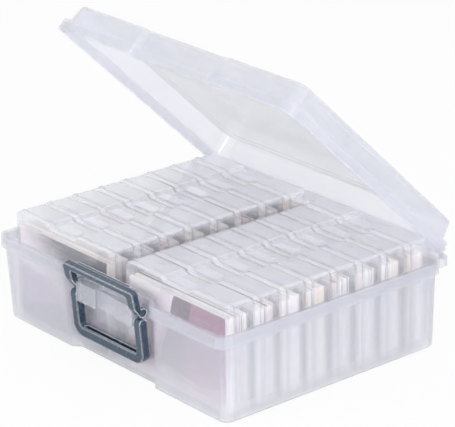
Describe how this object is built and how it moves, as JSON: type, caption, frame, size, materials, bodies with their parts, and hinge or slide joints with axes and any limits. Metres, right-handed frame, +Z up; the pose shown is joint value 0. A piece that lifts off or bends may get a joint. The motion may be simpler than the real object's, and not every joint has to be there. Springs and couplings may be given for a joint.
{
  "type": "photo keeper case",
  "caption": "Frosted plastic carry case with a hinged lid, front latch and folding handle, holding two columns of clear inner cases for photo prints.",
  "frame": {"origin": "centre of the flat face that the case stands on", "axes": "+X along the front to the right, -Y out of the front with the latch, +Z up"},
  "size_m": [0.375, 0.3297, 0.3287],
  "materials": {
    "outer_case_plastic": "translucent frosted polypropylene, satin, faintly lavender",
    "inner_case_plastic": "clear glossy plastic",
    "latch_plastic": "blue-grey plastic with a metallic satin sheen",
    "photo_paper": "glossy photographic paper in stacks"
  },
  "bodies": {
    "outer_case": {"base_tub": "outer_case_plastic"},
    "lid": {"outer_lid": "outer_case_plastic"},
    "latch": {"front_latch": "latch_plastic"},
    "handle": {"carry_handle": "latch_plastic"},
    "case_01": {"case_01_tray": "inner_case_plastic", "case_01_lid": "inner_case_plastic", "case_01_prints": "photo_paper"},
    "case_02": {"case_02_tray": "inner_case_plastic", "case_02_lid": "inner_case_plastic", "case_02_prints": "photo_paper"},
    "case_03": {"case_03_tray": "inner_case_plastic", "case_03_lid": "inner_case_plastic", "case_03_prints": "photo_paper"},
    "case_04": {"case_04_tray": "inner_case_plastic", "case_04_lid": "inner_case_plastic", "case_04_prints": "photo_paper"},
    "case_05": {"case_05_tray": "inner_case_plastic", "case_05_lid": "inner_case_plastic", "case_05_prints": "photo_paper"},
    "case_06": {"case_06_tray": "inner_case_plastic", "case_06_lid": "inner_case_plastic", "case_06_prints": "photo_paper"},
    "case_07": {"case_07_tray": "inner_case_plastic", "case_07_lid": "inner_case_plastic", "case_07_prints": "photo_paper"},
    "case_08": {"case_08_tray": "inner_case_plastic", "case_08_lid": "inner_case_plastic", "case_08_prints": "photo_paper"},
    "case_09": {"case_09_tray": "inner_case_plastic", "case_09_lid": "inner_case_plastic", "case_09_prints": "photo_paper"},
    "case_10": {"case_10_tray": "inner_case_plastic", "case_10_lid": "inner_case_plastic", "case_10_prints": "photo_paper"},
    "case_11": {"case_11_tray": "inner_case_plastic", "case_11_lid": "inner_case_plastic", "case_11_prints": "photo_paper"},
    "case_12": {"case_12_tray": "inner_case_plastic", "case_12_lid": "inner_case_plastic", "case_12_prints": "photo_paper"},
    "case_13": {"case_13_tray": "inner_case_plastic", "case_13_lid": "inner_case_plastic", "case_13_prints": "photo_paper"},
    "case_14": {"case_14_tray": "inner_case_plastic", "case_14_lid": "inner_case_plastic", "case_14_prints": "photo_paper"},
    "case_15": {"case_15_tray": "inner_case_plastic", "case_15_lid": "inner_case_plastic", "case_15_prints": "photo_paper"},
    "case_16": {"case_16_tray": "inner_case_plastic", "case_16_lid": "inner_case_plastic", "case_16_prints": "photo_paper"}
  },
  "joints": [
    {"name": "lid_hinge", "type": "hinge", "parent": "outer_case", "child": "lid", "pos_m": [0, 0.1565, 0.0967], "axis": [-1, 0, 0], "range_deg": [-44, 61]},
    {"name": "latch_hinge", "type": "hinge", "parent": "outer_case", "child": "latch", "pos_m": [0, -0.1455, 0.0815], "axis": [1, 0, 0], "range_deg": [-12, 63]},
    {"name": "handle_hinge", "type": "hinge", "parent": "outer_case", "child": "handle", "pos_m": [0, -0.1455, 0.069], "axis": [1, 0, 0], "range_deg": [-95, 0]},
    {"name": "case_01_lift", "type": "slide", "parent": "outer_case", "child": "case_01", "axis": [0, 0, 1], "range_m": [0, 0.125]},
    {"name": "case_02_lift", "type": "slide", "parent": "outer_case", "child": "case_02", "axis": [0, 0, 1], "range_m": [0, 0.125]},
    {"name": "case_03_lift", "type": "slide", "parent": "outer_case", "child": "case_03", "axis": [0, 0, 1], "range_m": [0, 0.125]},
    {"name": "case_04_lift", "type": "slide", "parent": "outer_case", "child": "case_04", "axis": [0, 0, 1], "range_m": [0, 0.125]},
    {"name": "case_05_lift", "type": "slide", "parent": "outer_case", "child": "case_05", "axis": [0, 0, 1], "range_m": [0, 0.125]},
    {"name": "case_06_lift", "type": "slide", "parent": "outer_case", "child": "case_06", "axis": [0, 0, 1], "range_m": [0, 0.095]},
    {"name": "case_07_lift", "type": "slide", "parent": "outer_case", "child": "case_07", "axis": [0, 0, 1], "range_m": [0, 0.06]},
    {"name": "case_08_lift", "type": "slide", "parent": "outer_case", "child": "case_08", "axis": [0, 0, 1], "range_m": [0, 0.027]},
    {"name": "case_09_lift", "type": "slide", "parent": "outer_case", "child": "case_09", "axis": [0, 0, 1], "range_m": [0, 0.125]},
    {"name": "case_10_lift", "type": "slide", "parent": "outer_case", "child": "case_10", "axis": [0, 0, 1], "range_m": [0, 0.125]},
    {"name": "case_11_lift", "type": "slide", "parent": "outer_case", "child": "case_11", "axis": [0, 0, 1], "range_m": [0, 0.125]},
    {"name": "case_12_lift", "type": "slide", "parent": "outer_case", "child": "case_12", "axis": [0, 0, 1], "range_m": [0, 0.125]},
    {"name": "case_13_lift", "type": "slide", "parent": "outer_case", "child": "case_13", "axis": [0, 0, 1], "range_m": [0, 0.125]},
    {"name": "case_14_lift", "type": "slide", "parent": "outer_case", "child": "case_14", "axis": [0, 0, 1], "range_m": [0, 0.095]},
    {"name": "case_15_lift", "type": "slide", "parent": "outer_case", "child": "case_15", "axis": [0, 0, 1], "range_m": [0, 0.06]},
    {"name": "case_16_lift", "type": "slide", "parent": "outer_case", "child": "case_16", "axis": [0, 0, 1], "range_m": [0, 0.027]}
  ]
}
